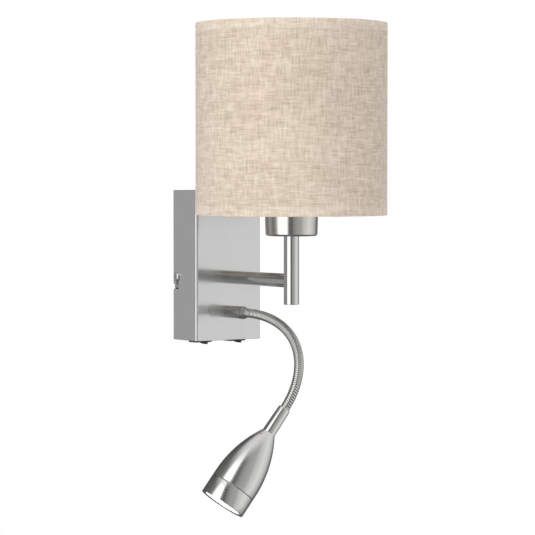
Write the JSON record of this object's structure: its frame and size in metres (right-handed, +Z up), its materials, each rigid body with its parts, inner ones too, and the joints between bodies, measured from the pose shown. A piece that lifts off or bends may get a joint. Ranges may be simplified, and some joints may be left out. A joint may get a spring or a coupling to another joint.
{
  "type": "wall lamp with reading arm",
  "caption": "Wall lamp with a linen drum shade on a straight arm, and a small reading light on a flexible arm below it.",
  "frame": {"origin": "on the wall, at the centre of the cover's back rim", "axes": "+Y into the wall, +Z up, +X along the wall; the lamp stands out along -Y"},
  "size_m": [0.2216, 0.235, 0.4508],
  "materials": {
    "brushed_nickel": "satin brushed nickel plate",
    "zinc_steel": "zinc-plated steel",
    "brass": "bright brass",
    "black_rocker": "satin black plastic",
    "white_plastic": "white thermoplastic",
    "terminal_plastic": "clear-grey connector plastic",
    "rubber": "black rubber",
    "wire": "stranded wire in plastic sleeving",
    "linen": "beige linen weave with slubs",
    "shade_liner": "translucent laminate",
    "white_wire": "white powder coat",
    "opal_glass": "opal envelope",
    "clear_lens": "clear front lens",
    "reflector": "metallised plastic",
    "aluminium": "plain extruded aluminium",
    "board": "white solder mask with yellow chip",
    "flex_steel": "satin nickel spiral tube"
  },
  "bodies": {
    "lamp": {"wall_bracket": "zinc_steel", "cable_grommet": "rubber", "earth_screw": "brass", "terminal_block": "terminal_plastic", "terminal_screws": "zinc_steel", "led_driver": "white_plastic", "cover_box": "brushed_nickel", "cover_screws": "zinc_steel", "lamp_switch_body": "black_rocker", "reading_switch_body": "black_rocker", "switch_tabs": "brass", "panel_nuts": "zinc_steel", "panel_washers": "zinc_steel", "arm_threaded_tube": "zinc_steel", "arm_tube": "brushed_nickel", "post_tube": "brushed_nickel", "post_end_plug": "brushed_nickel", "post_top_bush": "zinc_steel", "holder_nipple": "zinc_steel", "holder_cup": "brushed_nickel", "lampholder_shell": "white_plastic", "lampholder_screw_shell": "brass", "lampholder_contact": "brass", "shade_ring_nut": "white_plastic", "shade_carrier": "white_wire", "shade_top_ring": "white_wire", "shade_fabric": "linen", "shade_liner": "shade_liner", "bulb_cap": "zinc_steel", "bulb_collar": "white_plastic", "bulb_globe": "opal_glass", "reading_arm_sleeve": "brushed_nickel", "reading_arm_collar": "brushed_nickel", "supply_wires": "wire", "lamp_wires": "wire", "led_wires": "wire", "flex_link_01": "flex_steel"},
    "link_02": {"flex_link_02": "flex_steel"},
    "link_03": {"flex_link_03": "flex_steel"},
    "link_04": {"flex_link_04": "flex_steel"},
    "link_05": {"flex_link_05": "flex_steel"},
    "link_06": {"flex_link_06": "flex_steel"},
    "link_07": {"flex_link_07": "flex_steel"},
    "link_08": {"flex_link_08": "flex_steel"},
    "link_09": {"flex_link_09": "flex_steel"},
    "link_10": {"flex_link_10": "flex_steel"},
    "link_11": {"flex_link_11": "flex_steel"},
    "link_12": {"flex_link_12": "flex_steel"},
    "link_13": {"flex_link_13": "flex_steel"},
    "reading_head": {"neck_sleeve": "brushed_nickel", "head_shell": "brushed_nickel", "head_bezel": "brushed_nickel", "head_lens": "clear_lens", "lens_seal": "rubber", "head_reflector": "reflector", "led_board": "board", "heat_sink": "aluminium", "flex_link_14": "flex_steel"},
    "lamp_rocker": {"lamp_switch_rocker": "black_rocker"},
    "reading_rocker": {"reading_switch_rocker": "black_rocker"}
  },
  "joints": [
    {"name": "bend_01", "type": "hinge", "parent": "lamp", "child": "link_02", "pos_m": [-0.00044, -0.09005, -0.04583], "axis": [0.8192, 0, -0.5736], "range_deg": [-11.5, 9]},
    {"name": "sway_02", "type": "hinge", "parent": "link_02", "child": "link_03", "pos_m": [-0.0017, -0.1071, -0.04763], "axis": [0.5653, -0.1693, 0.8073], "range_deg": [-9, 9]},
    {"name": "bend_03", "type": "hinge", "parent": "link_03", "child": "link_04", "pos_m": [-0.00369, -0.12324, -0.05047], "axis": [0.8192, 0, -0.5736], "range_deg": [-11.5, 9]},
    {"name": "sway_04", "type": "hinge", "parent": "link_04", "child": "link_05", "pos_m": [-0.00634, -0.13837, -0.05425], "axis": [0.5411, -0.3319, 0.7727], "range_deg": [-9, 9]},
    {"name": "bend_05", "type": "hinge", "parent": "link_05", "child": "link_06", "pos_m": [-0.00958, -0.15242, -0.05888], "axis": [0.8192, 0, -0.5736], "range_deg": [-11.5, 9]},
    {"name": "sway_06", "type": "hinge", "parent": "link_06", "child": "link_07", "pos_m": [-0.01338, -0.16527, -0.06431], "axis": [0.4965, -0.5008, 0.709], "range_deg": [-9, 9]},
    {"name": "bend_07", "type": "hinge", "parent": "link_07", "child": "link_08", "pos_m": [-0.0177, -0.17681, -0.07048], "axis": [0.8192, 0, -0.5736], "range_deg": [-11.5, 9]},
    {"name": "sway_08", "type": "hinge", "parent": "link_08", "child": "link_09", "pos_m": [-0.02248, -0.18691, -0.0773], "axis": [0.4203, -0.6804, 0.6003], "range_deg": [-9, 9]},
    {"name": "bend_09", "type": "hinge", "parent": "link_09", "child": "link_10", "pos_m": [-0.02765, -0.19544, -0.08469], "axis": [0.8192, 0, -0.5736], "range_deg": [-11.5, 9]},
    {"name": "sway_10", "type": "hinge", "parent": "link_10", "child": "link_11", "pos_m": [-0.03312, -0.20226, -0.0925], "axis": [0.2994, -0.8529, 0.4276], "range_deg": [-9, 9]},
    {"name": "bend_11", "type": "hinge", "parent": "link_11", "child": "link_12", "pos_m": [-0.03877, -0.20728, -0.10057], "axis": [0.8192, 0, -0.5736], "range_deg": [-11.5, 9]},
    {"name": "sway_12", "type": "hinge", "parent": "link_12", "child": "link_13", "pos_m": [-0.04443, -0.21043, -0.10865], "axis": [0.1281, -0.9747, 0.183], "range_deg": [-9, 9]},
    {"name": "bend_13", "type": "hinge", "parent": "link_13", "child": "reading_head", "pos_m": [-0.04993, -0.21174, -0.11651], "axis": [0.8192, 0, -0.5736], "range_deg": [-11.5, 9]},
    {"name": "lamp_switch", "type": "hinge", "parent": "lamp", "child": "lamp_rocker", "pos_m": [-0.02, -0.02, -0.0715], "axis": [0, 1, 0], "range_deg": [-22, 0]},
    {"name": "reading_switch", "type": "hinge", "parent": "lamp", "child": "reading_rocker", "pos_m": [0.02, -0.02, -0.0715], "axis": [0, 1, 0], "range_deg": [-22, 0]}
  ],
  "couplings": [
    {"joint": "bend_03", "follows": "bend_01", "ratio": 1},
    {"joint": "sway_04", "follows": "sway_02", "ratio": 1},
    {"joint": "bend_05", "follows": "bend_01", "ratio": 1},
    {"joint": "sway_06", "follows": "sway_02", "ratio": 1},
    {"joint": "bend_07", "follows": "bend_01", "ratio": 1},
    {"joint": "sway_08", "follows": "sway_02", "ratio": 1},
    {"joint": "bend_09", "follows": "bend_01", "ratio": 1},
    {"joint": "sway_10", "follows": "sway_02", "ratio": 1},
    {"joint": "bend_11", "follows": "bend_01", "ratio": 1},
    {"joint": "sway_12", "follows": "sway_02", "ratio": 1},
    {"joint": "bend_13", "follows": "bend_01", "ratio": 1}
  ]
}
